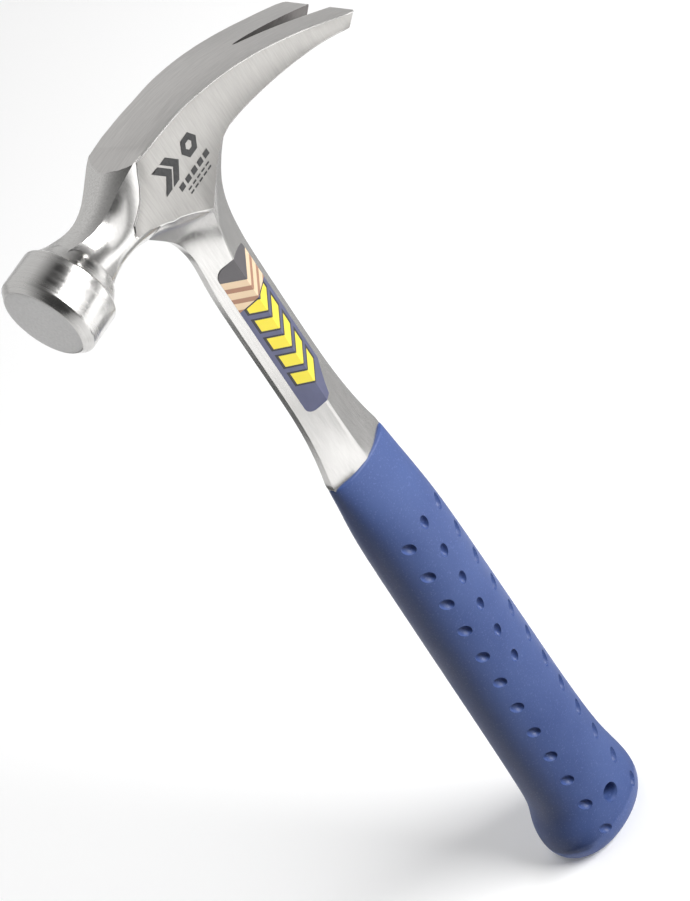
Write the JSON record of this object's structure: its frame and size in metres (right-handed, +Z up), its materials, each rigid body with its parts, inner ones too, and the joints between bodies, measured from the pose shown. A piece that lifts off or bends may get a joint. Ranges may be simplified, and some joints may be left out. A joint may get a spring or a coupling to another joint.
{
  "type": "claw hammer",
  "caption": "One-piece forged steel claw hammer with a straight rip claw, a slim six-sided shank and a dimpled blue moulded grip.",
  "frame": {"origin": "centre of the hanging hole in the butt of the grip, midway through its thickness", "axes": "+Z up the handle to the head, -X towards the striking face, +X towards the claw tips, +Y through the hanging hole away from the side that carries the label"},
  "size_m": [0.1262, 0.0304, 0.3298],
  "materials": {
    "forged_steel": "polished neck, poll and shank, with fine-ground cheeks, top and striking face",
    "blue_vinyl": "satin moulded vinyl with small dimples",
    "label_film": "printed film, satin",
    "black_ink": "matt printed ink"
  },
  "bodies": {
    "root": {"forging": "forged_steel", "grip": "blue_vinyl", "label": "label_film", "cheek_print": "black_ink"}
  },
  "joints": []
}
